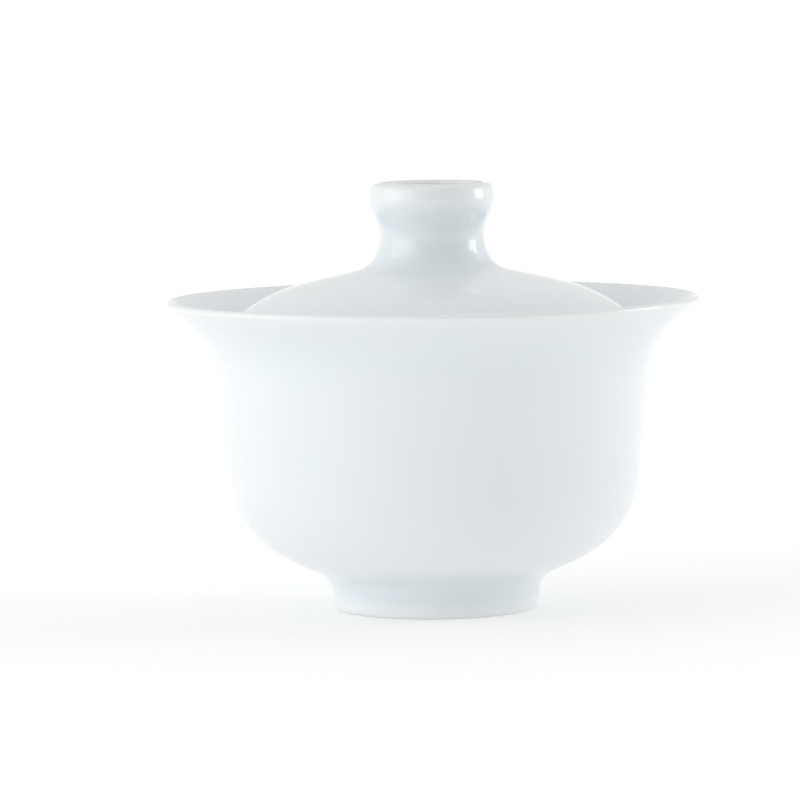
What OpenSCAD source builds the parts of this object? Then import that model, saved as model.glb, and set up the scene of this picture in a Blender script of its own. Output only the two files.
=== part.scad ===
// Gaiwan: a flared porcelain tea bowl with a domed lid that rests inside its lip.
// Every piece is turned about the Z axis. The origin is the middle of the foot ring's
// contact plane, +Z is up, and all sizes are millimetres.

/* [Bowl] */
// Outside diameter of the lip
mouth_d = 100; // [85:0.5:120]
// Height of the top of the lip above the table
bowl_h = 58.5; // [48:0.5:72]
// Thickness of the lip, glaze included
lip_t = 1.4; // [1.2:0.1:1.8]
// Thickness of the side wall, glaze included
wall_t = 2; // [1.6:0.1:2.6]
// Thickness of the floor over the foot well, glaze included
floor_t = 3.2; // [2.4:0.1:4.5]
// How far the lip's rounded edge stands out beyond the neck
flare_w = 7.7; // [5:0.1:9.5]
// How far the lip's rounded edge stands above the neck
flare_h = 6.9; // [5.5:0.1:9]
// Radius of the hollow curve at the neck, outside
neck_round = 12.8; // [8:0.1:15]
// How much narrower the belly's turning point is than the neck, on the radius
belly_in = 4.45; // [2:0.1:8]
// Height of the belly's turning point above the table
belly_h = 14; // [11:0.1:18]
// Radius of the curve round the belly, outside
belly_round = 19.2; // [12:0.1:20]
// Radius of the curve between the floor and the side, inside
floor_round = 30; // [10:1:40]

/* [Foot ring] */
// Outside diameter of the foot ring
foot_d = 38.9; // [32:0.1:46]
// Height at which the foot ring meets the belly
foot_h = 5.9; // [4.8:0.05:7]
// Thickness of the foot ring, glaze included
foot_t = 3.6; // [3:0.1:4.5]
// Depth of the well inside the foot ring
well_h = 4.8; // [4.4:0.1:5.4]
// Radius of the hollow curve from the foot ring to the belly
foot_fillet = 4.5; // [2:0.1:4.6]
// Radius of the foot ring's two lower edges
foot_edge = 1.25; // [0.8:0.05:1.3]
// Radius in the corner of the well
well_round = 1.5; // [0.5:0.1:2.5]

/* [Lid] */
// How much smaller the lid is than the lip, on the radius
lid_in = 8.8; // [7:0.1:10]
// Thickness of the lid, glaze included
lid_t = 2.2; // [1.8:0.1:2.8]
// Gap left between the lid's edge and the bowl it rests on
seat_gap = 0.15; // [0.1:0.01:0.3]
// Distance of the lid's shoulder in from its edge, on the radius
shoulder_in = 11.2; // [8:0.1:14]
// Height of the shoulder above the middle of the lid's edge
shoulder_rise = 7.8; // [5.5:0.1:9]
// Radius of the curve over the shoulder
shoulder_round = 36; // [15:1:36]
// Height of the knob's root above the middle of the lid's edge
crown_rise = 12; // [10:0.1:14]
// Thickness of the lid's middle, from its hollow up to the knob's joint
crown_t = 4.9; // [4:0.1:5.6]
// Radius of the lid's hollow at its middle
crown_round = 40; // [20:1:60]

/* [Knob] */
// Height of the knob above its root
knob_h = 15.8; // [14.6:0.1:20]
// Outside diameter of the knob's bead
bead_d = 23.8; // [22:0.1:26]
// Height of the bead above the knob's root
bead_rise = 11.8; // [11:0.1:13]
// Outside diameter of the knob's top edge before it is rounded
brim_d = 22.6; // [21:0.1:25]
// Outside diameter of the knob's waist, before its curve is blended
waist_d = 18.2; // [17.4:0.1:20]
// Height of the waist above the knob's root
waist_rise = 6.1; // [5.4:0.1:7]
// Outside diameter of the knob's root, before its curve is blended
root_d = 22.8; // [21:0.1:25]
// Height above the root at which the knob is joined to the lid
joint_rise = 3.4; // [3:0.1:3.8]
// Inside diameter of the knob at its top
cup_top_d = 14.4; // [12:0.1:15]
// Inside diameter of the knob at its joint
cup_floor_d = 12.8; // [10:0.1:14]
// Radii of the brim, bead, waist and root curves
brim_round = 1.4; // [0.8:0.1:2.2]
bead_round = 6; // [1:0.1:10]
waist_round = 7.5; // [2:0.1:10]
root_round = 5.1; // [2:0.1:6]
// Radius of the knob's inner top edge
cup_round = 0.8; // [0.5:0.1:1]

/* [Glaze] */
// Thickness of the glaze coat
glaze_t = 0.25; // [0.15:0.01:0.35]
// How far the bare rings stand proud of the glaze beside them
bare_step = 0.12; // [0.06:0.01:0.2]
// How far the glaze laps onto the flat beside a bare ring
glaze_lap = 0.15; // [0.1:0.01:0.25]

/* [Hidden] */
$fn = 96;
arc_step = 6;      // degrees between the points of a curve in a profile
run_share = 0.98;  // most of a line that its two roundings may take up
edge_share = 0.49; // rounding of a thin edge's corners, as a share of its thickness

// A profile is a list of corners [radius, height, rounding], walked with the clay on its left.

function xy(p) = [p[0], p[1]];
function unit(v) = v / norm(v);
function along(a, b) = unit(xy(b) - xy(a));
// Direction at a quarter turn left of the line from a to b, which points into the clay
function inward(a, b) = let (d = along(a, b)) [-d[1], d[0]];
// Corner b of the lines a-b and b-c, after both lines move t into the clay
function moved(a, b, c, t) =
    let (n1 = inward(a, b), n2 = inward(b, c))
    xy(b) + t * (n1 + n2) / (1 + n1 * n2);
// Point of the line a-b at height z
function at_height(a, b, z) = [a[0] + (b[0] - a[0]) * (z - a[1]) / (b[1] - a[1]), z];
function slice(list, first, last) = [for (i = [first:last]) list[i]];
function reversed(list) = [for (i = [len(list) - 1:-1:0]) list[i]];

// A left turn bulges out of the clay and a right turn is a hollow
function left_turn(path, i) = cross(along(path[i - 1], path[i]), along(path[i], path[i + 1])) > 0;
function is_end(path, i) = i == 0 || i == len(path) - 1;
function half_angle(path, i) = acos(along(path[i], path[i - 1]) * along(path[i], path[i + 1])) / 2;
// Length that the rounding of corner i takes from each of its lines
function run(path, i) =
    is_end(path, i) || path[i][2] == 0 ? 0 : path[i][2] / tan(half_angle(path, i));
// Share of the roundings at both ends of line i that the line has room for
function room(path, i) =
    let (need = run(path, i) + run(path, i + 1), have = norm(xy(path[i + 1]) - xy(path[i])))
    need > have * run_share ? have * run_share / need : 1;
function rounding(path, i) = path[i][2] * min(room(path, i - 1), room(path, i));
function arc_centre(path, i) =
    let (u = along(path[i], path[i - 1]), v = along(path[i], path[i + 1]))
    xy(path[i]) + unit(u + v) * rounding(path, i) / sin(half_angle(path, i));
function arc(path, i) =
    let (
        centre = arc_centre(path, i),
        side = left_turn(path, i) ? 1 : -1,
        out = -side * inward(path[i - 1], path[i]),
        start = atan2(out[1], out[0]),
        sweep = 180 - 2 * half_angle(path, i),
        steps = ceil(sweep / arc_step)
    )
    [for (k = [0:steps])
        let (a = start + side * sweep * k / steps)
        centre + rounding(path, i) * [cos(a), sin(a)]];
// The points of a profile, with every corner rounded
function rounded(path) =
    [for (i = [0:len(path) - 1])
        each is_end(path, i) || path[i][2] == 0 ? [xy(path[i])] : arc(path, i)];
// The profile that runs t inside another one
function inset(path, t) =
    [for (i = [0:len(path) - 1])
        let (
            last = len(path) - 1,
            p = i == 0 ? xy(path[0]) + t * inward(path[0], path[1])
                : i == last ? xy(path[last]) + t * inward(path[last - 1], path[last])
                : moved(path[i - 1], path[i], path[i + 1], t),
            grown = is_end(path, i) || path[i][2] == 0 ? 0 : left_turn(path, i) ? -t : t
        )
        [p[0], p[1], path[i][2] + grown]];

// Bowl: the glazed skin from the foot's bare ring, up the outside, over the lip and down inside
mouth_r = mouth_d / 2;
lip = [mouth_r - lip_t / 2, bowl_h - lip_t / 2];
neck = lip - [flare_w, flare_h];
belly = [neck[0] - belly_in, belly_h];
foot_r = foot_d / 2;
foot_in_r = foot_r - foot_t;
ring_out_r = foot_r - foot_edge - glaze_lap;
ring_in_r = foot_in_r + foot_edge + glaze_lap;
floor_z = well_h + floor_t;
flare_a = atan2(flare_h, flare_w) - asin(lip_t / 2 / norm([flare_w, flare_h]));
lip_out = lip_t / 2 * [cos(flare_a), sin(flare_a)];
lip_up = lip_t / 2 * [-sin(flare_a), cos(flare_a)];
foot_top = [foot_r, foot_h];
lip_low = lip + lip_out - lip_up;
lip_high = lip + lip_out + lip_up;
neck_inside = moved(belly, neck, lip_low, wall_t);
belly_inside = moved(foot_top, belly, neck, wall_t);
floor_edge = at_height(belly_inside, belly_inside + foot_top - belly, floor_z);

function corner(p, round) = [p[0], p[1], round];

bowl_skin = [
    [ring_out_r, bare_step, 0],
    [foot_r, bare_step, foot_edge],
    corner(foot_top, foot_fillet),
    corner(belly, belly_round),
    corner(neck, neck_round),
    corner(lip_low, lip_t * edge_share),
    corner(lip_high, lip_t * edge_share),
    corner(neck_inside, neck_round + wall_t),
    corner(belly_inside, belly_round - wall_t),
    corner(floor_edge, floor_round),
    [0, floor_z, 0]
];
well_skin = [
    [0, well_h, 0],
    [foot_in_r, well_h, well_round],
    [foot_in_r, bare_step, foot_edge],
    [ring_in_r, bare_step, 0]
];
bowl_core = inset(bowl_skin, glaze_t);
well_core = inset(well_skin, glaze_t);

// Seat: the lid's rounded edge rests on the curve inside the neck, or on the flare beyond it
neck_inside_index = 7;
seat_centre = arc_centre(bowl_skin, neck_inside_index);
seat_reach = rounding(bowl_skin, neck_inside_index) + seat_gap + lid_t / 2;
flare_in = inward(lip_high, neck_inside);
flare_start = seat_centre - seat_reach * flare_in;
edge_r = mouth_r - lid_in - lid_t / 2;
edge_z = edge_r > flare_start[0]
    ? flare_start[1] - (edge_r - flare_start[0]) * flare_in[0] / flare_in[1]
    : seat_centre[1] + sqrt(seat_reach ^ 2 - (seat_centre[0] - edge_r) ^ 2);

// Lid: the glazed skin from the middle of the hollow, round the edge and up to the knob's bare ring
edge = [edge_r, edge_z];
shoulder = [edge_r + lid_t / 2 - shoulder_in, edge_z + shoulder_rise];
root = [root_d / 2, edge_z + crown_rise];
waist = [waist_d / 2, root[1] + waist_rise];
bead = [bead_d / 2, root[1] + bead_rise];
knob_top = root[1] + knob_h;
joint_z = root[1] + joint_rise;
hollow_z = joint_z - crown_t;
drop = edge - shoulder;
drop_a = atan2(drop[1], drop[0]) - asin(lid_t / 2 / norm(drop));
edge_out = lid_t / 2 * [cos(drop_a), sin(drop_a)];
edge_up = lid_t / 2 * [-sin(drop_a), cos(drop_a)];
edge_low = edge + edge_out - edge_up;
edge_high = edge + edge_out + edge_up;
shoulder_inside = moved(edge_high, shoulder, root, lid_t);
hollow_edge = at_height(shoulder_inside, shoulder_inside + root - shoulder, hollow_z);
brim_flat_r = brim_d / 2 - brim_round - glaze_lap;
cup_flat_r = cup_top_d / 2 + cup_round + glaze_lap;

lid_skin = [
    [0, hollow_z, 0],
    corner(hollow_edge, crown_round),
    corner(shoulder_inside, shoulder_round - lid_t),
    corner(edge_low, lid_t * edge_share),
    corner(edge_high, lid_t * edge_share),
    corner(shoulder, shoulder_round),
    corner(root, root_round),
    corner(waist, waist_round),
    corner(bead, bead_round),
    [brim_d / 2, knob_top - bare_step, brim_round],
    [brim_flat_r, knob_top - bare_step, 0]
];
cup_skin = [
    [cup_flat_r, knob_top - bare_step, 0],
    [cup_top_d / 2, knob_top - bare_step, cup_round],
    [cup_floor_d / 2, joint_z + glaze_t, 0],
    [0, joint_z + glaze_t, 0]
];
root_index = 6;
skin_core = inset(lid_skin, glaze_t);
cup_core = inset(cup_skin, glaze_t);
joint = corner(at_height(skin_core[root_index], skin_core[root_index + 1], joint_z), 0);
lid_core = concat(slice(skin_core, 0, root_index), [joint]);
knob_core = concat([joint], slice(skin_core, root_index + 1, len(skin_core) - 1));

// Solid turned from a closed outline of points
module turned(outline) {
    rotate_extrude() polygon(outline);
}

// Coat of glaze between a skin and the core beneath it
module coat(skin, core) {
    turned(concat(rounded(skin), reversed(rounded(core))));
}

// Fired porcelain bowl with its foot ring, whose lower face is bare
module bowl_body() {
    color("#eef1f2")
        turned(concat(rounded(well_core), [[ring_in_r, 0], [ring_out_r, 0]], rounded(bowl_core)));
}

// Glaze over the outside, the lip and the inside of the bowl
module bowl_glaze() {
    color("#e6eef2") coat(bowl_skin, bowl_core);
}

// Glaze in the well inside the foot ring
module foot_well_glaze() {
    color("#e6eef2") coat(well_skin, well_core);
}

// Fired porcelain lid, up to the flat that the knob is joined to
module lid_body() {
    color("#eef1f2") turned(concat(rounded(lid_core), [[0, joint_z]]));
}

// Hollow knob, made by itself and joined to the lid with slip, bare on its top ring
module lid_knob() {
    color("#f2f2ef")
        turned(concat(
            rounded(knob_core),
            [[brim_flat_r, knob_top], [cup_flat_r, knob_top]],
            slice(rounded(cup_core), 0, len(rounded(cup_core)) - 2)
        ));
}

// Glaze over the knob's outside, the lid, its edge and its hollow
module lid_glaze() {
    color("#e6eef2")
        coat(lid_skin, concat(lid_core, slice(knob_core, 1, len(knob_core) - 1)));
}

// Glaze in the knob's cup
module knob_cup_glaze() {
    color("#e6eef2") coat(cup_skin, cup_core);
}

bowl_body();
bowl_glaze();
foot_well_glaze();
lid_body();
lid_knob();
lid_glaze();
knob_cup_glaze();
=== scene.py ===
"""Looks of a gaiwan, a lidded porcelain tea bowl, made round its packed CAD model.

Every piece is a surface turned about the Z axis from a profile of straight lines and eased corners.
The profile's sizes are the CAD design's own, and its heights are read from the loaded frame.
"""

import math

import bpy
import numpy as np
from mathutils import Matrix, Vector


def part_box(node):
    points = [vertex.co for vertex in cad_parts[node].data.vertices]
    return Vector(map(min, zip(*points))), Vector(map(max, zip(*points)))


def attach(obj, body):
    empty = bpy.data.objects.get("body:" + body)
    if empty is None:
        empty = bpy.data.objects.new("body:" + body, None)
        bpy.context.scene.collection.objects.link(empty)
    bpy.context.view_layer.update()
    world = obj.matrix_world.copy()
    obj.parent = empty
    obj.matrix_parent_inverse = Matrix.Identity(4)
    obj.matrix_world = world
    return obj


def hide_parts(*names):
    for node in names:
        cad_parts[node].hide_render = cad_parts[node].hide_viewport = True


bl_info = {
    "name": "Gaiwan",
    "version": (1, 0, 0),
    "blender": (4, 5, 0),
    "location": "View3D > Sidebar > Gaiwan",
    "description": "Glazed porcelain pieces of a lidded tea bowl, and a studio to see them in",
    "category": "Object",
}

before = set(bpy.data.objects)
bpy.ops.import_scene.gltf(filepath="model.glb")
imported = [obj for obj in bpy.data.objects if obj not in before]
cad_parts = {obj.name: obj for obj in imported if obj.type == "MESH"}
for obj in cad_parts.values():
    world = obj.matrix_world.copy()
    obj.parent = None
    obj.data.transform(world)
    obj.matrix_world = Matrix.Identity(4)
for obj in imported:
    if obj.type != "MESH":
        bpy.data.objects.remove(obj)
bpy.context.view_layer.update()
MM = 0.001


# ---------------------------------------------------------------- settings


def linear(hex_colour):
    """Linear red, green, blue and alpha of an sRGB colour written as #rrggbb."""
    srgb = np.array([int(hex_colour[i:i + 2], 16) for i in (1, 3, 5)]) / 255
    rgb = np.where(srgb <= 0.04045, srgb / 12.92, ((srgb + 0.055) / 1.055) ** 2.4)
    return (*rgb, 1.0)


def reach_of(node, axis):
    """How far a CAD node reaches along axis 0, 1 or 2, in millimetres."""
    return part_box(node)[1][axis] / MM


# The lip is rounded, so its CAD facets reach a hair past its size. The lid's two levels are flat.
MOUTH_R = round(reach_of("bowl_glaze", 0), 1)
BOWL_H = round(reach_of("bowl_glaze", 2), 1)
JOINT_Z = reach_of("lid_body", 2)
KNOB_TOP = reach_of("lid_knob", 2)


def length(name, description, mm):
    """A length that a user may change, whose default is given in millimetres."""
    return bpy.props.FloatProperty(
        name=name, description=description, default=mm * MM, unit="LENGTH", subtype="DISTANCE",
        precision=5,
    )


def angle(name, description, degrees):
    """An angle that a user may change, whose default is given in degrees."""
    return bpy.props.FloatProperty(
        name=name, description=description, default=math.radians(degrees), unit="ROTATION",
        subtype="ANGLE",
    )


def number(name, description, value):
    """A plain number that a user may change."""
    return bpy.props.FloatProperty(name=name, description=description, default=value, precision=4)


def colour(name, description, hex_colour):
    """A colour that a user may change, whose default is an sRGB hex value."""
    return bpy.props.FloatVectorProperty(
        name=name, description=description, default=linear(hex_colour), size=4, min=0, max=1,
        subtype="COLOR",
    )


class GaiwanBowlShape(bpy.types.PropertyGroup):
    """Sizes of the bowl and its foot ring"""

    mouth_r: length("Mouth radius", "Outside radius of the lip", MOUTH_R)
    height: length("Height", "Top of the lip above the table", BOWL_H)
    lip_t: length("Lip", "Thickness of the lip", 1.4)
    wall_t: length("Wall", "Thickness of the side wall", 2.0)
    floor_t: length("Floor", "Thickness of the floor over the well", 3.2)
    flare_w: length("Flare width", "How far the lip stands out beyond the neck", 7.7)
    flare_h: length("Flare height", "How far the lip stands above the neck", 6.9)
    neck_round: length("Neck curve", "Radius of the hollow curve at the neck", 12.8)
    belly_in: length("Belly inset", "How much narrower the belly's turn is than the neck", 4.45)
    belly_h: length("Belly height", "Height of the belly's turn above the table", 14.0)
    belly_round: length("Belly curve", "Radius of the curve round the belly", 19.2)
    floor_round: length("Floor curve", "Radius of the curve from the floor to the side", 30.0)
    foot_r: length("Foot radius", "Outside radius of the foot ring", 19.45)
    foot_h: length("Foot height", "Height at which foot ring and belly meet", 5.9)
    foot_t: length("Foot wall", "Thickness of the foot ring", 3.6)
    well_h: length("Well depth", "Depth of the well inside the foot ring", 4.8)
    foot_fillet: length("Foot fillet", "Radius of the hollow curve over the foot ring", 4.5)
    foot_edge: length("Foot edge", "Radius of the foot ring's lower edges", 1.25)
    well_round: length("Well corner", "Radius in the corner of the well", 1.5)


class GaiwanLidShape(bpy.types.PropertyGroup):
    """Sizes of the lid and its knob"""

    edge_in: length("Edge inset", "How much smaller the lid is than the lip", 8.8)
    lid_t: length("Lid", "Thickness of the lid", 2.2)
    joint_z: length("Joint height", "Height of the knob's joint", JOINT_Z)
    top_z: length("Knob top", "Height of the knob's top ring", KNOB_TOP)
    shoulder_in: length("Shoulder inset", "Distance of the shoulder in from the edge", 11.2)
    shoulder_rise: length("Shoulder rise", "Height of the shoulder above the edge", 7.8)
    shoulder_round: length("Shoulder curve", "Radius of the curve over the shoulder", 36.0)
    crown_rise: length("Crown rise", "Height of the knob's root above the edge", 12.0)
    crown_t: length("Crown", "Thickness of the lid's middle up to the joint", 4.9)
    crown_round: length("Crown curve", "Radius of the hollow's middle", 40.0)
    joint_rise: length("Joint rise", "Height of the joint above the knob's root", 3.4)
    root_r: length("Root radius", "Radius of the knob's root", 11.4)
    waist_r: length("Waist radius", "Radius of the knob's waist", 9.1)
    waist_rise: length("Waist rise", "Height of the waist above the root", 6.1)
    bead_r: length("Bead radius", "Radius of the knob's bead", 11.9)
    bead_rise: length("Bead rise", "Height of the bead above the root", 11.8)
    brim_r: length("Brim radius", "Radius of the knob's top edge", 11.3)
    cup_top_r: length("Cup mouth", "Inside radius of the knob at its top", 7.2)
    cup_floor_r: length("Cup floor", "Inside radius of the knob at its joint", 6.4)
    brim_round: length("Brim curve", "Radius of the knob's outer top edge", 1.4)
    bead_round: length("Bead curve", "Radius of the curve over the bead", 6.0)
    waist_round: length("Waist curve", "Radius of the hollow curve at the waist", 7.5)
    root_round: length("Root curve", "Radius of the hollow curve at the root", 5.1)
    cup_round: length("Cup edge", "Radius of the knob's inner top edge", 0.8)


class GaiwanGlaze(bpy.types.PropertyGroup):
    """Thickness, colours and surface of the glaze, and of the bare clay"""

    thickness: length("Thickness", "Thickness of the glaze coat", 0.25)
    bare_step: length("Bare step", "How far the bare rings stand proud of the glaze", 0.12)
    lap: length("Lap", "How far the glaze laps onto the flat beside a bare ring", 0.15)
    tint: colour("Glaze", "Glaze over white porcelain at its usual thickness", "#e3e9ec")
    pooled: colour("Pooled glaze", "Glaze where it has run thick into a hollow", "#dfe7eb")
    thin: colour("Thin glaze", "Glaze that has drawn thin over a sharp edge", "#e9ebeb")
    gloss: number("Gloss roughness", "Roughness of the glaze's fired surface", 0.045)
    clay: colour("Bare clay", "Bare fired porcelain", "#eae7e0")
    flash: colour("Kiln flash", "Faint warm line where bare clay meets glaze", "#e4dfd7")
    peel: length("Glaze ripple", "Spacing of the fine ripple in the fired glaze", 2.2)
    peel_depth: length("Ripple depth", "Height of the fine ripple", 0.002)
    swell: length("Turning swell", "Spacing of the slow swell left by turning", 17.0)
    swell_depth: length("Swell depth", "Height of the slow swell", 0.05)
    grit: length("Grit", "Spacing of the grit in bare clay, drawn coarse enough to show", 0.3)


class GaiwanStudio(bpy.types.PropertyGroup):
    """Camera, lights and floor"""

    distance: length("Camera distance", "Distance of the camera from the axis", 1000.0)
    height: length("Camera height", "Height of the camera above the table", 123.4)
    lens: length("Lens", "Focal length on a 36 mm wide sensor", 240.7)
    tilt: angle("Tilt", "How far the camera looks below the horizon", 4.81)
    pan: angle("Pan", "How far the camera looks left of the axis", 0.366)
    roll: angle("Roll", "How far the camera leans to the right", 0.74)
    light_distance: length("Light distance", "Distance of the softboxes and panels", 1050.0)
    light_elevation: angle("Light elevation", "Elevation of the softboxes and panels", 13.0)
    box_w: length("Softbox width", "Width of the softboxes", 430.0)
    box_h: length("Softbox height", "Height of the softboxes", 380.0)
    panel_w: length("Panel width", "Width of the diffusing panels", 1300.0)
    panel_h: length("Panel height", "Height of the diffusing panels", 1000.0)
    left_azimuth: angle("Left light", "Direction of the left lights from the camera", -67.0)
    right_azimuth: angle("Right light", "Direction of the right lights from the camera", 100.0)
    left_box: number("Left softbox", "Power of the left softbox, in watts", 0.9)
    right_box: number("Right softbox", "Power of the right softbox, in watts", 1.9)
    left_panel: number("Left panel", "Power of the left diffusing panel, in watts", 4.0)
    right_panel: number("Right panel", "Power of the right diffusing panel, in watts", 1.6)
    walls: number("Walls", "Brightness of the studio's walls and ceiling", 0.86)
    dark_walls: number("Dark walls", "Brightness of the studio's dark side", 0.5)
    dark_azimuth: angle("Dark side", "Direction of the studio's dark side from the camera", 22.0)
    horizon: number("Horizon", "Brightness of the sweep at and below the horizon", 1.0)
    near_glow: number("Near glow", "Light that the lit table gives under the piece", 0.36)
    far_glow: number("Far glow", "Light that the lit table gives further away", 0.5)
    floor: colour("Floor", "White acrylic table", "#d6d6d6")


SETTINGS = {
    "gaiwan_bowl": GaiwanBowlShape,
    "gaiwan_lid": GaiwanLidShape,
    "gaiwan_glaze": GaiwanGlaze,
    "gaiwan_studio": GaiwanStudio,
}


# ---------------------------------------------------------------- profiles

EASINGS = (0.1, 0.2, 0.3, 0.4)  # shares of a corner over which its curvature may rise, or fall
ROOM = 0.98  # most of a straight line that its two corners may take up
EDGE_SHARE = 0.49  # rounding of a thin edge's corners, as a share of its thickness
FACET = math.radians(3.5)  # turn between two points of a corner
STRIDE = 1.2 * MM  # longest step along a straight line
CORE_STEP = 3  # a coat's hidden side keeps one in this many of the skin's points
AROUND = 240  # points round a turned surface
ON_AXIS = 1e-9  # metres from the axis within which a point counts as on it


def unit(v):
    """The vector, scaled to length 1."""
    return v / np.linalg.norm(v)


def left_of(v):
    """The vector, a quarter turn to its left."""
    return np.array([-v[1], v[0]])


def moved(a, b, c, t):
    """Corner b of the lines a-b and b-c, after both lines move t to their left, into the clay."""
    n1 = left_of(unit(b - a))
    n2 = left_of(unit(c - b))
    return b + t * (n1 + n2) / (1 + n1 @ n2)


def at_height(a, b, z):
    """Point of the line a-b at height z."""
    return a + (b - a) * (z - a[1]) / (b[1] - a[1])


def thin_end(a, centre, thickness):
    """The two corners of a thin edge, which is rounded about its centre.

    The line from a through the first corner passes half the thickness to the right of the centre.
    """
    half = thickness / 2
    reach = centre - a
    heading = math.atan2(reach[1], reach[0]) - math.asin(half / np.linalg.norm(reach))
    out = half * np.array([math.cos(heading), math.sin(heading)])
    return centre + out - left_of(out), centre + out + left_of(out)


def eased_turn(turn, ease):
    """A curve of length 1 that leaves along +x and turns by turn radians.

    Its curvature rises evenly over a share ease of the length, holds, and falls evenly, so that a
    reflection runs through the corner without a kink. The heading is the running sum of the
    curvature, and the points are the running sum of the heading's cosine and sine.
    """
    steps = 2 * max(4, math.ceil(abs(turn) / FACET / 2))
    t = (np.arange(steps) + 0.5) / steps
    bend = np.minimum(1, np.minimum(t, 1 - t) / max(ease, 1 / steps**2))
    heading = turn * (np.cumsum(bend) - bend / 2) / bend.sum()
    points = np.cumsum(np.column_stack([np.cos(heading), np.sin(heading)]), axis=0) / steps
    return np.vstack([[0, 0], points])


def eased_corner(a, b, c, radius, ease):
    """Curve at corner b and how far it reaches along each line, as deep as an arc of that radius.

    The curve starts at the origin of axes that run along the line a-b and to its left.
    """
    u = unit(b - a)
    w = unit(c - b)
    turn = math.atan2(u[0] * w[1] - u[1] * w[0], u @ w)
    curve = eased_turn(turn, ease)
    reach = np.linalg.norm(curve[-1]) / (2 * math.cos(turn / 2))
    depth = np.linalg.norm(curve[len(curve) // 2] - (reach, 0))
    scale = radius * (1 / math.cos(turn / 2) - 1) / depth
    return curve * scale, reach * scale


def corner_curves(at, radii, eases):
    """Curve and reach of every corner of a profile, where the ends and sharp corners have none."""
    curves = [(np.zeros((1, 2)), 0.0)] * len(at)
    for i in np.flatnonzero(radii[1:-1]) + 1:
        curves[i] = eased_corner(at[i - 1], at[i], at[i + 1], radii[i], eases[i])
    return curves


def profile(corners):
    """Points of a profile given as corners (radius, height, rounding), with the clay on its left.

    Each corner with a rounding becomes a curve, eased as far as its two lines have room for it and
    shrunk where even an arc has none. The straight stretches between are split into short steps.
    """
    at = np.array([corner[:2] for corner in corners])
    radii = np.array([corner[2] for corner in corners])
    gaps = np.linalg.norm(np.diff(at, axis=0), axis=1)
    line_ease = np.zeros(len(gaps))
    for ease in EASINGS:
        reach = np.array([r for _, r in corner_curves(at, radii, np.full(len(at), ease))])
        line_ease[reach[:-1] + reach[1:] < ROOM * gaps] = ease
    curves = corner_curves(at, radii, np.minimum(np.r_[1, line_ease], np.r_[line_ease, 1]))
    reach = np.array([r for _, r in curves])
    fit = np.minimum(1, ROOM * gaps / np.maximum(reach[:-1] + reach[1:], 1e-12))
    share = np.minimum(np.r_[1, fit], np.r_[fit, 1])
    parts = []
    for i, (curve, _) in enumerate(curves):
        u = unit(at[max(i, 1)] - at[max(i, 1) - 1])
        start = at[i] - u * reach[i] * share[i]
        parts.append(start + share[i] * (curve[:, :1] * u + curve[:, 1:] * left_of(u)))
        if i + 1 < len(at):
            ahead = unit(at[i + 1] - at[i])
            leave = parts[-1][-1]
            arrive = at[i + 1] - ahead * reach[i + 1] * share[i + 1]
            steps = max(1, math.ceil(np.linalg.norm(arrive - leave) / STRIDE))
            parts.append(leave + (arrive - leave) * np.linspace(0, 1, steps + 1)[1:-1, None])
    return np.vstack(parts)


def clay_side(points):
    """Unit vector at each point of a profile, a quarter turn to the left of the way it runs."""
    along = np.diff(points, axis=0)
    along /= np.linalg.norm(along, axis=1)[:, None]
    both = np.vstack([along[:1], along]) + np.vstack([along, along[-1:]])
    both /= np.linalg.norm(both, axis=1)[:, None]
    return np.column_stack([-both[:, 1], both[:, 0]])


def core_of(points, t):
    """The profile that runs t inside another, with fewer points."""
    inner = points + t * clay_side(points)
    inner[points[:, 0] < ON_AXIS, 0] = 0
    return inner[np.unique(np.r_[0:len(points):CORE_STEP, len(points) - 1])]


def bowl_skin(bowl, glaze):
    """The bowl's glazed surface, from the bare ring up the outside, over the lip and down inside."""
    lip = np.array([bowl.mouth_r - bowl.lip_t / 2, bowl.height - bowl.lip_t / 2])
    neck = lip - (bowl.flare_w, bowl.flare_h)
    belly = np.array([neck[0] - bowl.belly_in, bowl.belly_h])
    foot_top = np.array([bowl.foot_r, bowl.foot_h])
    lip_low, lip_high = thin_end(neck, lip, bowl.lip_t)
    neck_inside = moved(belly, neck, lip_low, bowl.wall_t)
    belly_inside = moved(foot_top, belly, neck, bowl.wall_t)
    floor_z = bowl.well_h + bowl.floor_t
    floor_edge = at_height(belly_inside, belly_inside + foot_top - belly, floor_z)
    return profile([
        (bowl.foot_r - bowl.foot_edge - glaze.lap, glaze.bare_step, 0),
        (bowl.foot_r, glaze.bare_step, bowl.foot_edge),
        (*foot_top, bowl.foot_fillet),
        (*belly, bowl.belly_round),
        (*neck, bowl.neck_round),
        (*lip_low, bowl.lip_t * EDGE_SHARE),
        (*lip_high, bowl.lip_t * EDGE_SHARE),
        (*neck_inside, bowl.neck_round + bowl.wall_t),
        (*belly_inside, bowl.belly_round - bowl.wall_t),
        (*floor_edge, bowl.floor_round),
        (0, floor_z, 0),
    ])


def well_skin(bowl, glaze):
    """The glazed surface of the well inside the foot ring, from its middle out to the bare ring."""
    inside_r = bowl.foot_r - bowl.foot_t
    return profile([
        (0, bowl.well_h, 0),
        (inside_r, bowl.well_h, bowl.well_round),
        (inside_r, glaze.bare_step, bowl.foot_edge),
        (inside_r + bowl.foot_edge + glaze.lap, glaze.bare_step, 0),
    ])


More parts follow.
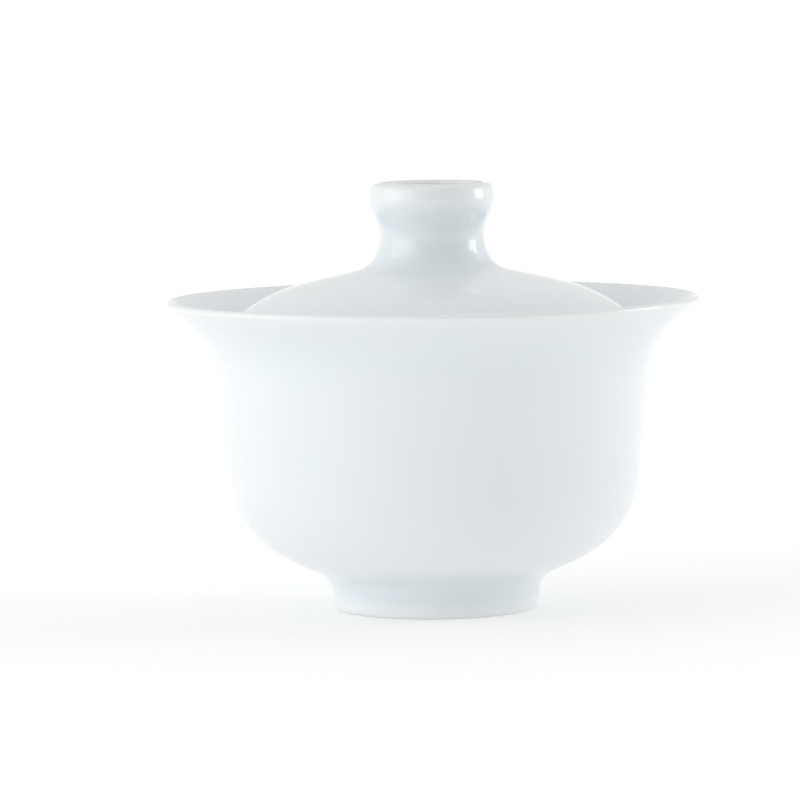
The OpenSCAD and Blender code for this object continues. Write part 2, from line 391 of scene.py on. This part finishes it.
def lid_skin(lid, glaze, mouth_r):
    """The lid's glazed surface, from the middle of its hollow round the edge to the knob's top."""
    root_z = lid.joint_z - lid.joint_rise
    edge = np.array([mouth_r - lid.edge_in - lid.lid_t / 2, root_z - lid.crown_rise])
    shoulder = edge + (lid.lid_t / 2 - lid.shoulder_in, lid.shoulder_rise)
    root = np.array([lid.root_r, root_z])
    hollow_z = lid.joint_z - lid.crown_t
    face_z = lid.top_z - glaze.bare_step
    edge_low, edge_high = thin_end(shoulder, edge, lid.lid_t)
    shoulder_inside = moved(edge_high, shoulder, root, lid.lid_t)
    hollow_edge = at_height(shoulder_inside, shoulder_inside + root - shoulder, hollow_z)
    return profile([
        (0, hollow_z, 0),
        (*hollow_edge, lid.crown_round),
        (*shoulder_inside, lid.shoulder_round - lid.lid_t),
        (*edge_low, lid.lid_t * EDGE_SHARE),
        (*edge_high, lid.lid_t * EDGE_SHARE),
        (*shoulder, lid.shoulder_round),
        (*root, lid.root_round),
        (lid.waist_r, root_z + lid.waist_rise, lid.waist_round),
        (lid.bead_r, root_z + lid.bead_rise, lid.bead_round),
        (lid.brim_r, face_z, lid.brim_round),
        (lid.brim_r - lid.brim_round - glaze.lap, face_z, 0),
    ])


def cup_skin(lid, glaze):
    """The glazed surface inside the knob, from the bare top ring to the middle of the cup."""
    face_z = lid.top_z - glaze.bare_step
    floor_z = lid.joint_z + glaze.thickness
    return profile([
        (lid.cup_top_r + lid.cup_round + glaze.lap, face_z, 0),
        (lid.cup_top_r, face_z, lid.cup_round),
        (lid.cup_floor_r, floor_z, lid.cup_round),
        (0, floor_z, 0),
    ])


def bare_ring(from_core, to_core, face_z):
    """The bare face between two glazed surfaces, from the end of one core to the start of the next.

    The rounding of its two edges is a tenth of its width.
    """
    low = np.array([from_core[0], face_z])
    high = np.array([to_core[0], face_z])
    edge_round = np.linalg.norm(high - low) / 10
    return profile([(*from_core, 0), (*low, edge_round), (*high, edge_round), (*to_core, 0)])


def split_at(points, z):
    """The parts of a profile before and after it first rises to height z."""
    above = np.flatnonzero(points[:, 1] >= z)[0]
    joint = at_height(points[above - 1], points[above], z)
    return np.vstack([points[:above], joint]), np.vstack([joint, points[above:]])


# ---------------------------------------------------------------- meshes

RUN_SPREAD = 1.5 * MM  # how far glaze evens out along a profile
RUN_RADIUS = 4 * MM  # a curve this tight has the thickest or thinnest glaze
FLASH_FADE = 0.12 * MM  # how far the kiln flash reaches from the glaze's edge


def turned(name, outline, tone, material):
    """Closed surface turned about Z from an outline of (radius, height) with its solid on the left.

    Point i of the outline at step j round the axis is (r cos a, r sin a, z) with a = 2 pi j / AROUND.
    A point on the axis is one vertex, and the outline closes from its last point to its first. The
    tone of each outline point is kept as a vertex attribute, for the material.
    """
    pole = outline[:, 0] < ON_AXIS
    counts = np.where(pole, 1, AROUND)
    first = np.cumsum(counts) - counts
    a = 2 * np.pi * np.arange(AROUND) / AROUND
    ring = np.stack([np.cos(a), np.sin(a), np.ones(AROUND)], axis=1)
    points = [ring[:n] * (r, r, z) for (r, z), n in zip(outline, counts)]
    j = np.arange(AROUND)
    k = (j + 1) % AROUND
    faces = []
    for i, start in enumerate(first):
        after = (i + 1) % len(outline)
        if pole[i] and pole[after]:
            continue
        if pole[i]:
            corners = [np.full(AROUND, start), first[after] + k, first[after] + j]
        elif pole[after]:
            corners = [start + j, start + k, np.full(AROUND, first[after])]
        else:
            corners = [start + j, start + k, first[after] + k, first[after] + j]
        faces += np.stack(corners, axis=1).tolist()
    mesh = bpy.data.meshes.new(name)
    mesh.from_pydata(np.vstack(points).tolist(), [], faces)
    mesh.attributes.new("tone", "FLOAT", "POINT").data.foreach_set(
        "value", np.repeat(tone, counts).astype(np.float32)
    )
    mesh.shade_smooth()
    mesh.materials.append(material)
    piece = bpy.data.objects.new(name, mesh)
    bpy.context.scene.collection.objects.link(piece)
    return piece


def install(piece, body, node):
    """Lets a piece ride on a body in place of a CAD node."""
    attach(piece, body)
    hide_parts(node)


def running(points):
    """How thick the glaze has run at each point of a skin, from -1 on a sharp edge to 1 in a hollow.

    It is the profile's curvature, turn over length, averaged over RUN_SPREAD and multiplied by
    RUN_RADIUS, with a hollow counted as positive.
    """
    along = np.diff(points, axis=0)
    step = np.linalg.norm(along, axis=1)
    heading = np.unwrap(np.arctan2(along[:, 1], along[:, 0]))
    place = np.r_[0, np.cumsum(step)]
    turn = np.r_[0, np.diff(heading), 0]
    near = np.exp(-((place[:, None] - place[None, :]) / RUN_SPREAD) ** 2)
    span = np.r_[step[0], step[:-1] + step[1:], step[-1]] / 2
    return np.clip(-RUN_RADIUS * (near @ turn) / (near @ span), -1, 1)


def coat(name, skin, core, body, node, material):
    """Coat of glaze between a skin and the core beneath it."""
    outline = np.vstack([skin, core[::-1]])
    tone = np.r_[running(skin), np.zeros(len(core))]
    install(turned(name, outline, tone, material), body, node)


def flash(outline, face_z):
    """How strong the kiln flash is at each point: 1 at both edges of the bare face at height face_z.

    It fades as the bell curve of the distance from the nearer edge, over FLASH_FADE.
    """
    tone = np.zeros(len(outline))
    face = np.abs(outline[:, 1] - face_z) < MM / 10000
    r = outline[face, 0]
    edge = np.minimum(r - r.min(), r.max() - r)
    tone[face] = np.exp(-((edge / FLASH_FADE) ** 2))
    return tone


def clay(name, outline, tone, body, node, material):
    """Solid of bare porcelain."""
    install(turned(name, outline, tone, material), body, node)


# ---------------------------------------------------------------- materials


def add_node(tree, kind, inputs=None, **settings):
    """A node with its settings, and with each named input set to a value or linked to an output."""
    node = tree.nodes.new(kind)
    for key, value in settings.items():
        setattr(node, key, value)
    for key, value in (inputs or {}).items():
        if isinstance(value, bpy.types.NodeSocket):
            tree.links.new(value, node.inputs[key])
        else:
            node.inputs[key].default_value = value
    return node


def empty_tree(owner):
    """The owner's node tree, cleared."""
    owner.use_nodes = True
    owner.node_tree.nodes.clear()
    return owner.node_tree


def glazed_porcelain(glaze):
    """Clear feldspar glaze, poured over white porcelain and fired until it flowed smooth.

    To the eye it is a sharp, glassy reflection over a soft white body. The glaze is a little bluer
    where it has run thick into a hollow and whiter where it has drawn thin over an edge, and its
    surface keeps a ripple of about a micrometre and a slow swell from the turning.
    """
    material = bpy.data.materials.new("clear_glaze_fired_on_porcelain")
    tree = empty_tree(material)
    place = add_node(tree, "ShaderNodeTexCoord").outputs["Object"]
    tone = add_node(tree, "ShaderNodeAttribute", attribute_name="tone").outputs["Fac"]
    cloud = add_node(
        tree, "ShaderNodeTexNoise",
        {"Vector": place, "Scale": 1 / glaze.swell, "Detail": 3.0, "Roughness": 0.45},
    ).outputs["Fac"]
    thick = add_node(
        tree, "ShaderNodeMath", {0: cloud, 1: 0.5, 2: tone}, operation="MULTIPLY_ADD", use_clamp=True,
    ).outputs[0]
    run = add_node(
        tree, "ShaderNodeMapRange",
        {"Value": thick, "From Min": 0.2, "From Max": 1.3, "To Min": 0.0, "To Max": 1.0},
    ).outputs["Result"]
    body = add_node(
        tree, "ShaderNodeMix", {"Factor": run, 6: glaze.tint, 7: glaze.pooled}, data_type="RGBA",
    ).outputs[2]
    drawn = add_node(
        tree, "ShaderNodeMath", {0: tone, 1: -0.6}, operation="MULTIPLY", use_clamp=True,
    ).outputs[0]
    base = add_node(
        tree, "ShaderNodeMix", {"Factor": drawn, 6: body, 7: glaze.thin}, data_type="RGBA",
    ).outputs[2]
    peel = add_node(
        tree, "ShaderNodeTexNoise",
        {"Vector": place, "Scale": 1 / glaze.peel, "Detail": 1.0, "Roughness": 0.4},
    ).outputs["Fac"]
    rippled = add_node(
        tree, "ShaderNodeBump", {"Strength": 1.0, "Distance": glaze.peel_depth, "Height": peel},
    ).outputs["Normal"]
    swollen = add_node(
        tree, "ShaderNodeBump",
        {"Strength": 1.0, "Distance": glaze.swell_depth, "Height": cloud, "Normal": rippled},
    ).outputs["Normal"]
    haze = add_node(
        tree, "ShaderNodeMapRange",
        {"Value": cloud, "From Min": 0.3, "From Max": 0.7, "To Min": 0.34, "To Max": 0.42},
    ).outputs["Result"]
    shader = add_node(tree, "ShaderNodeBsdfPrincipled", {
        "Base Color": base,
        "Roughness": haze,
        "IOR": 1.5,
        "Specular IOR Level": 0.15,
        "Coat Weight": 1.0,
        "Coat Roughness": glaze.gloss,
        "Coat IOR": 1.5,
        "Normal": swollen,
        "Coat Normal": swollen,
    })
    add_node(tree, "ShaderNodeOutputMaterial", {"Surface": shader.outputs["BSDF"]})
    return material


def bare_porcelain(glaze):
    """Hard porcelain fired without glaze, wiped clean and lightly ground where it stood in the kiln.

    To the eye it is matt and a little warmer than the glaze, with a fine grit, and a faint tan line
    where the glaze stops.
    """
    material = bpy.data.materials.new("bare_fired_porcelain_ground")
    tree = empty_tree(material)
    place = add_node(tree, "ShaderNodeTexCoord").outputs["Object"]
    tone = add_node(tree, "ShaderNodeAttribute", attribute_name="tone").outputs["Fac"]
    grain = add_node(
        tree, "ShaderNodeTexNoise",
        {"Vector": place, "Scale": 1 / glaze.grit, "Detail": 4.0, "Roughness": 0.6},
    ).outputs["Fac"]
    flashed = add_node(
        tree, "ShaderNodeMath", {0: tone, 1: grain}, operation="MULTIPLY", use_clamp=True,
    ).outputs[0]
    base = add_node(
        tree, "ShaderNodeMix", {"Factor": flashed, 6: glaze.clay, 7: glaze.flash}, data_type="RGBA",
    ).outputs[2]
    dusty = add_node(
        tree, "ShaderNodeMapRange",
        {"Value": grain, "From Min": 0.3, "From Max": 0.7, "To Min": 0.72, "To Max": 0.92},
    ).outputs["Result"]
    rough = add_node(
        tree, "ShaderNodeBump", {"Strength": 1.0, "Distance": glaze.grit / 10, "Height": grain},
    ).outputs["Normal"]
    shader = add_node(tree, "ShaderNodeBsdfPrincipled", {
        "Base Color": base,
        "Roughness": dusty,
        "IOR": 1.5,
        "Normal": rough,
    })
    add_node(tree, "ShaderNodeOutputMaterial", {"Surface": shader.outputs["BSDF"]})
    return material


GLOW_NEAR = 0.06  # metres from the axis at which the table's own light starts to grow
GLOW_FAR = 0.3  # metres from the axis at which it is full


def painted_glow_acrylic(studio):
    """Opal acrylic table, matt white with a painted glow: it gives some light by itself.

    The glow is painted weaker under the piece than further out. That is painted shade, so the table
    keeps a soft shadow round the foot ring, partly real and partly painted.
    """
    material = bpy.data.materials.new("opal_acrylic_painted_glow")
    tree = empty_tree(material)
    place = add_node(tree, "ShaderNodeTexCoord").outputs["Object"]
    away = add_node(tree, "ShaderNodeVectorMath", {0: place}, operation="LENGTH").outputs["Value"]
    # Painted glow of the table, weaker near the piece: painted shade round its foot
    glow = add_node(
        tree, "ShaderNodeMapRange",
        {
            "Value": away, "From Min": GLOW_NEAR, "From Max": GLOW_FAR,
            "To Min": studio.near_glow, "To Max": studio.far_glow,
        },
    ).outputs["Result"]
    shader = add_node(tree, "ShaderNodeBsdfPrincipled", {
        "Base Color": studio.floor,
        "Roughness": 0.8,
        "Specular IOR Level": 0.0,
        "Emission Color": (1, 1, 1, 1),
        "Emission Strength": glow,
    })
    add_node(tree, "ShaderNodeOutputMaterial", {"Surface": shader.outputs["BSDF"]})
    return material


MATERIALS = {}


def material_for(maker, glaze):
    """The material that a maker gives, made once and shared by every piece."""
    if maker not in MATERIALS:
        MATERIALS[maker] = maker(glaze)
    return MATERIALS[maker]


# ---------------------------------------------------------------- stage

FLOOR_SPAN = 30.0  # metres, far enough to reach the top of the picture
FLOOR_DROP = 0.02 * MM  # how far the table lies below the piece, so that two faces don't meet
SWEEP_TOP = math.sin(math.radians(2))  # the white sweep behind the table ends at this height
WALL_START = math.sin(math.radians(10))  # above this the studio's walls are evenly bright
DARK_SIDE = 0.75  # the studio is darkest where a direction's cosine to its dark side is above this
BRIGHT_SIDE = -0.1  # and brightest where it is below this


def floor(studio):
    """Flat table under the piece."""
    half = FLOOR_SPAN / 2
    mesh = bpy.data.meshes.new("floor")
    sides = [(-half, -half), (half, -half), (half, half), (-half, half)]
    corners = [(x, y, -FLOOR_DROP) for x, y in sides]
    mesh.from_pydata(corners, [], [(0, 1, 2, 3)])
    mesh.materials.append(painted_glow_acrylic(studio))
    table = bpy.data.objects.new("floor", mesh)
    bpy.context.scene.collection.objects.link(table)


def surround(studio):
    """World with a white sweep round the horizon, and a studio that is darker on one side."""
    world = bpy.data.worlds.new("studio")
    tree = empty_tree(world)
    direction = add_node(tree, "ShaderNodeTexCoord").outputs["Generated"]
    up = add_node(tree, "ShaderNodeSeparateXYZ", {"Vector": direction}).outputs["Z"]
    dark_way = (math.sin(studio.dark_azimuth), -math.cos(studio.dark_azimuth), 0)
    facing_dark = add_node(
        tree, "ShaderNodeVectorMath", {0: direction, 1: dark_way}, operation="DOT_PRODUCT",
    ).outputs["Value"]
    room = add_node(
        tree, "ShaderNodeMapRange",
        {
            "Value": facing_dark, "From Min": BRIGHT_SIDE, "From Max": DARK_SIDE,
            "To Min": studio.walls, "To Max": studio.dark_walls,
        },
        interpolation_type="SMOOTHSTEP",
    ).outputs["Result"]
    light = add_node(
        tree, "ShaderNodeMapRange",
        {
            "Value": up, "From Min": SWEEP_TOP, "From Max": WALL_START,
            "To Min": studio.horizon, "To Max": room,
        },
        interpolation_type="SMOOTHSTEP",
    ).outputs["Result"]
    glow = add_node(tree, "ShaderNodeBackground", {"Color": (1, 1, 1, 1), "Strength": light})
    add_node(tree, "ShaderNodeOutputWorld", {"Surface": glow.outputs["Background"]})
    bpy.context.scene.world = world


def area_light(name, studio, azimuth, power, size, aim):
    """Rectangular light round the piece, turned to face it.

    The azimuth is counted to the right of the camera, which stands on the -Y side.
    """
    lamp = bpy.data.lights.new(name, "AREA")
    lamp.shape = "RECTANGLE"
    lamp.size, lamp.size_y = size
    lamp.energy = power
    elevation = studio.light_elevation
    level = math.cos(elevation)
    towards = Vector((math.sin(azimuth) * level, -math.cos(azimuth) * level, math.sin(elevation)))
    light = bpy.data.objects.new(name, lamp)
    light.location = aim + towards * studio.light_distance
    light.rotation_euler = towards.to_track_quat("Z", "Y").to_euler()
    light.visible_camera = False
    bpy.context.scene.collection.objects.link(light)


def camera(studio):
    """Camera a little above the piece, looking slightly down."""
    data = bpy.data.cameras.new("camera")
    data.sensor_width = 36
    data.lens = studio.lens / MM
    data.clip_end = 2 * FLOOR_SPAN
    view = bpy.data.objects.new("camera", data)
    view.matrix_world = (
        Matrix.Translation((0, -studio.distance, studio.height))
        @ Matrix.Rotation(studio.pan, 4, "Z")
        @ Matrix.Rotation(math.pi / 2 - studio.tilt, 4, "X")
        @ Matrix.Rotation(-studio.roll, 4, "Z")
    )
    bpy.context.scene.collection.objects.link(view)
    bpy.context.scene.camera = view


# ---------------------------------------------------------------- operators


def lid_and_knob(scene):
    """The core under the lid's glaze, as the part below the knob's joint and the part above it."""
    skin = lid_skin(scene.gaiwan_lid, scene.gaiwan_glaze, scene.gaiwan_bowl.mouth_r)
    return split_at(core_of(skin, scene.gaiwan_glaze.thickness), scene.gaiwan_lid.joint_z)


class GAIWAN_OT_bowl_porcelain(bpy.types.Operator):
    """Makes the bowl's porcelain, bare on the lower face of its foot ring"""

    bl_idname = "gaiwan.bowl_porcelain"
    bl_label = "Bowl porcelain"

    def execute(self, context):
        bowl, glaze = context.scene.gaiwan_bowl, context.scene.gaiwan_glaze
        well = core_of(well_skin(bowl, glaze), glaze.thickness)
        side = core_of(bowl_skin(bowl, glaze), glaze.thickness)
        outline = np.vstack([well[:-1], bare_ring(well[-1], side[0], 0.0), side[1:]])
        material = material_for(bare_porcelain, glaze)
        clay("bowl_porcelain", outline, flash(outline, 0), "bowl", "bowl_body", material)
        return {"FINISHED"}


class GAIWAN_OT_bowl_coat(bpy.types.Operator):
    """Makes the glaze over the bowl's outside, lip and inside"""

    bl_idname = "gaiwan.bowl_coat"
    bl_label = "Bowl glaze"

    def execute(self, context):
        bowl, glaze = context.scene.gaiwan_bowl, context.scene.gaiwan_glaze
        skin = bowl_skin(bowl, glaze)
        core = core_of(skin, glaze.thickness)
        material = material_for(glazed_porcelain, glaze)
        coat("bowl_glaze_coat", skin, core, "bowl", "bowl_glaze", material)
        return {"FINISHED"}


class GAIWAN_OT_well_coat(bpy.types.Operator):
    """Makes the glaze in the well inside the foot ring"""

    bl_idname = "gaiwan.well_coat"
    bl_label = "Foot well glaze"

    def execute(self, context):
        bowl, glaze = context.scene.gaiwan_bowl, context.scene.gaiwan_glaze
        skin = well_skin(bowl, glaze)
        core = core_of(skin, glaze.thickness)
        material = material_for(glazed_porcelain, glaze)
        coat("foot_well_coat", skin, core, "bowl", "foot_well_glaze", material)
        return {"FINISHED"}


class GAIWAN_OT_lid_porcelain(bpy.types.Operator):
    """Makes the lid's porcelain, up to the flat that the knob is joined to"""

    bl_idname = "gaiwan.lid_porcelain"
    bl_label = "Lid porcelain"

    def execute(self, context):
        lid, glaze = context.scene.gaiwan_lid, context.scene.gaiwan_glaze
        below, _ = lid_and_knob(context.scene)
        outline = np.vstack([below, [0, lid.joint_z]])
        material = material_for(bare_porcelain, glaze)
        clay("lid_porcelain", outline, np.zeros(len(outline)), "lid", "lid_body", material)
        return {"FINISHED"}


class GAIWAN_OT_knob_porcelain(bpy.types.Operator):
    """Makes the hollow knob's porcelain, bare on its top ring"""

    bl_idname = "gaiwan.knob_porcelain"
    bl_label = "Knob porcelain"

    def execute(self, context):
        lid, glaze = context.scene.gaiwan_lid, context.scene.gaiwan_glaze
        _, above = lid_and_knob(context.scene)
        cup = core_of(cup_skin(lid, glaze), glaze.thickness)
        # The cup's floor lies on the joint, so its side is kept down to a fifth of a glaze above it
        cup = cup[cup[:, 1] > lid.joint_z + glaze.thickness / 5]
        foot = [[cup[-1, 0], lid.joint_z]]
        ring = bare_ring(above[-1], cup[0], lid.top_z)
        outline = np.vstack([above[:-1], ring, cup[1:], foot])
        material = material_for(bare_porcelain, glaze)
        tone = flash(outline, lid.top_z)
        clay("knob_porcelain", outline, tone, "lid", "lid_knob", material)
        return {"FINISHED"}


class GAIWAN_OT_lid_coat(bpy.types.Operator):
    """Makes the glaze over the knob's outside, the lid, its edge and its hollow"""

    bl_idname = "gaiwan.lid_coat"
    bl_label = "Lid glaze"

    def execute(self, context):
        glaze = context.scene.gaiwan_glaze
        skin = lid_skin(context.scene.gaiwan_lid, glaze, context.scene.gaiwan_bowl.mouth_r)
        core = core_of(skin, glaze.thickness)
        material = material_for(glazed_porcelain, glaze)
        coat("lid_glaze_coat", skin, core, "lid", "lid_glaze", material)
        return {"FINISHED"}


class GAIWAN_OT_cup_coat(bpy.types.Operator):
    """Makes the glaze inside the knob"""

    bl_idname = "gaiwan.cup_coat"
    bl_label = "Knob cup glaze"

    def execute(self, context):
        glaze = context.scene.gaiwan_glaze
        skin = cup_skin(context.scene.gaiwan_lid, glaze)
        core = core_of(skin, glaze.thickness)
        material = material_for(glazed_porcelain, glaze)
        coat("knob_cup_coat", skin, core, "lid", "knob_cup_glaze", material)
        return {"FINISHED"}


class GAIWAN_OT_studio(bpy.types.Operator):
    """Makes the camera, the surround, the table with its painted glow and, on each side, a softbox
    and a wide panel
    """

    bl_idname = "gaiwan.studio"
    bl_label = "Studio"

    def execute(self, context):
        studio = context.scene.gaiwan_studio
        aim = Vector((0, 0, context.scene.gaiwan_lid.top_z / 2))
        camera(studio)
        box, panel = (studio.box_w, studio.box_h), (studio.panel_w, studio.panel_h)
        area_light("left_softbox", studio, studio.left_azimuth, studio.left_box, box, aim)
        area_light("left_panel", studio, studio.left_azimuth, studio.left_panel, panel, aim)
        area_light("right_softbox", studio, studio.right_azimuth, studio.right_box, box, aim)
        area_light("right_panel", studio, studio.right_azimuth, studio.right_panel, panel, aim)
        surround(studio)
        floor(studio)
        context.scene.view_settings.view_transform = "Standard"
        return {"FINISHED"}


OPERATORS = (
    GAIWAN_OT_studio,
    GAIWAN_OT_bowl_porcelain,
    GAIWAN_OT_bowl_coat,
    GAIWAN_OT_well_coat,
    GAIWAN_OT_lid_porcelain,
    GAIWAN_OT_knob_porcelain,
    GAIWAN_OT_lid_coat,
    GAIWAN_OT_cup_coat,
)


class GAIWAN_PT_sidebar(bpy.types.Panel):
    """Lists the gaiwan's pieces and their settings"""

    bl_idname = "GAIWAN_PT_sidebar"
    bl_label = "Gaiwan"
    bl_space_type = "VIEW_3D"
    bl_region_type = "UI"
    bl_category = "Gaiwan"

    def draw(self, context):
        for operator in OPERATORS:
            self.layout.operator(operator.bl_idname)
        for name, group in SETTINGS.items():
            box = self.layout.box()
            box.label(text=group.__doc__)
            for key in group.__annotations__:
                box.prop(getattr(context.scene, name), key)


def register():
    for cls in (*SETTINGS.values(), *OPERATORS, GAIWAN_PT_sidebar):
        bpy.utils.register_class(cls)
    for name, group in SETTINGS.items():
        setattr(bpy.types.Scene, name, bpy.props.PointerProperty(type=group))


def unregister():
    for name in SETTINGS:
        delattr(bpy.types.Scene, name)
    for cls in reversed((*SETTINGS.values(), *OPERATORS, GAIWAN_PT_sidebar)):
        bpy.utils.unregister_class(cls)


def main():
    register()
    for operator in OPERATORS:
        group, name = operator.bl_idname.split(".")
        getattr(getattr(bpy.ops, group), name)()


if __name__ == "__main__":
    main()
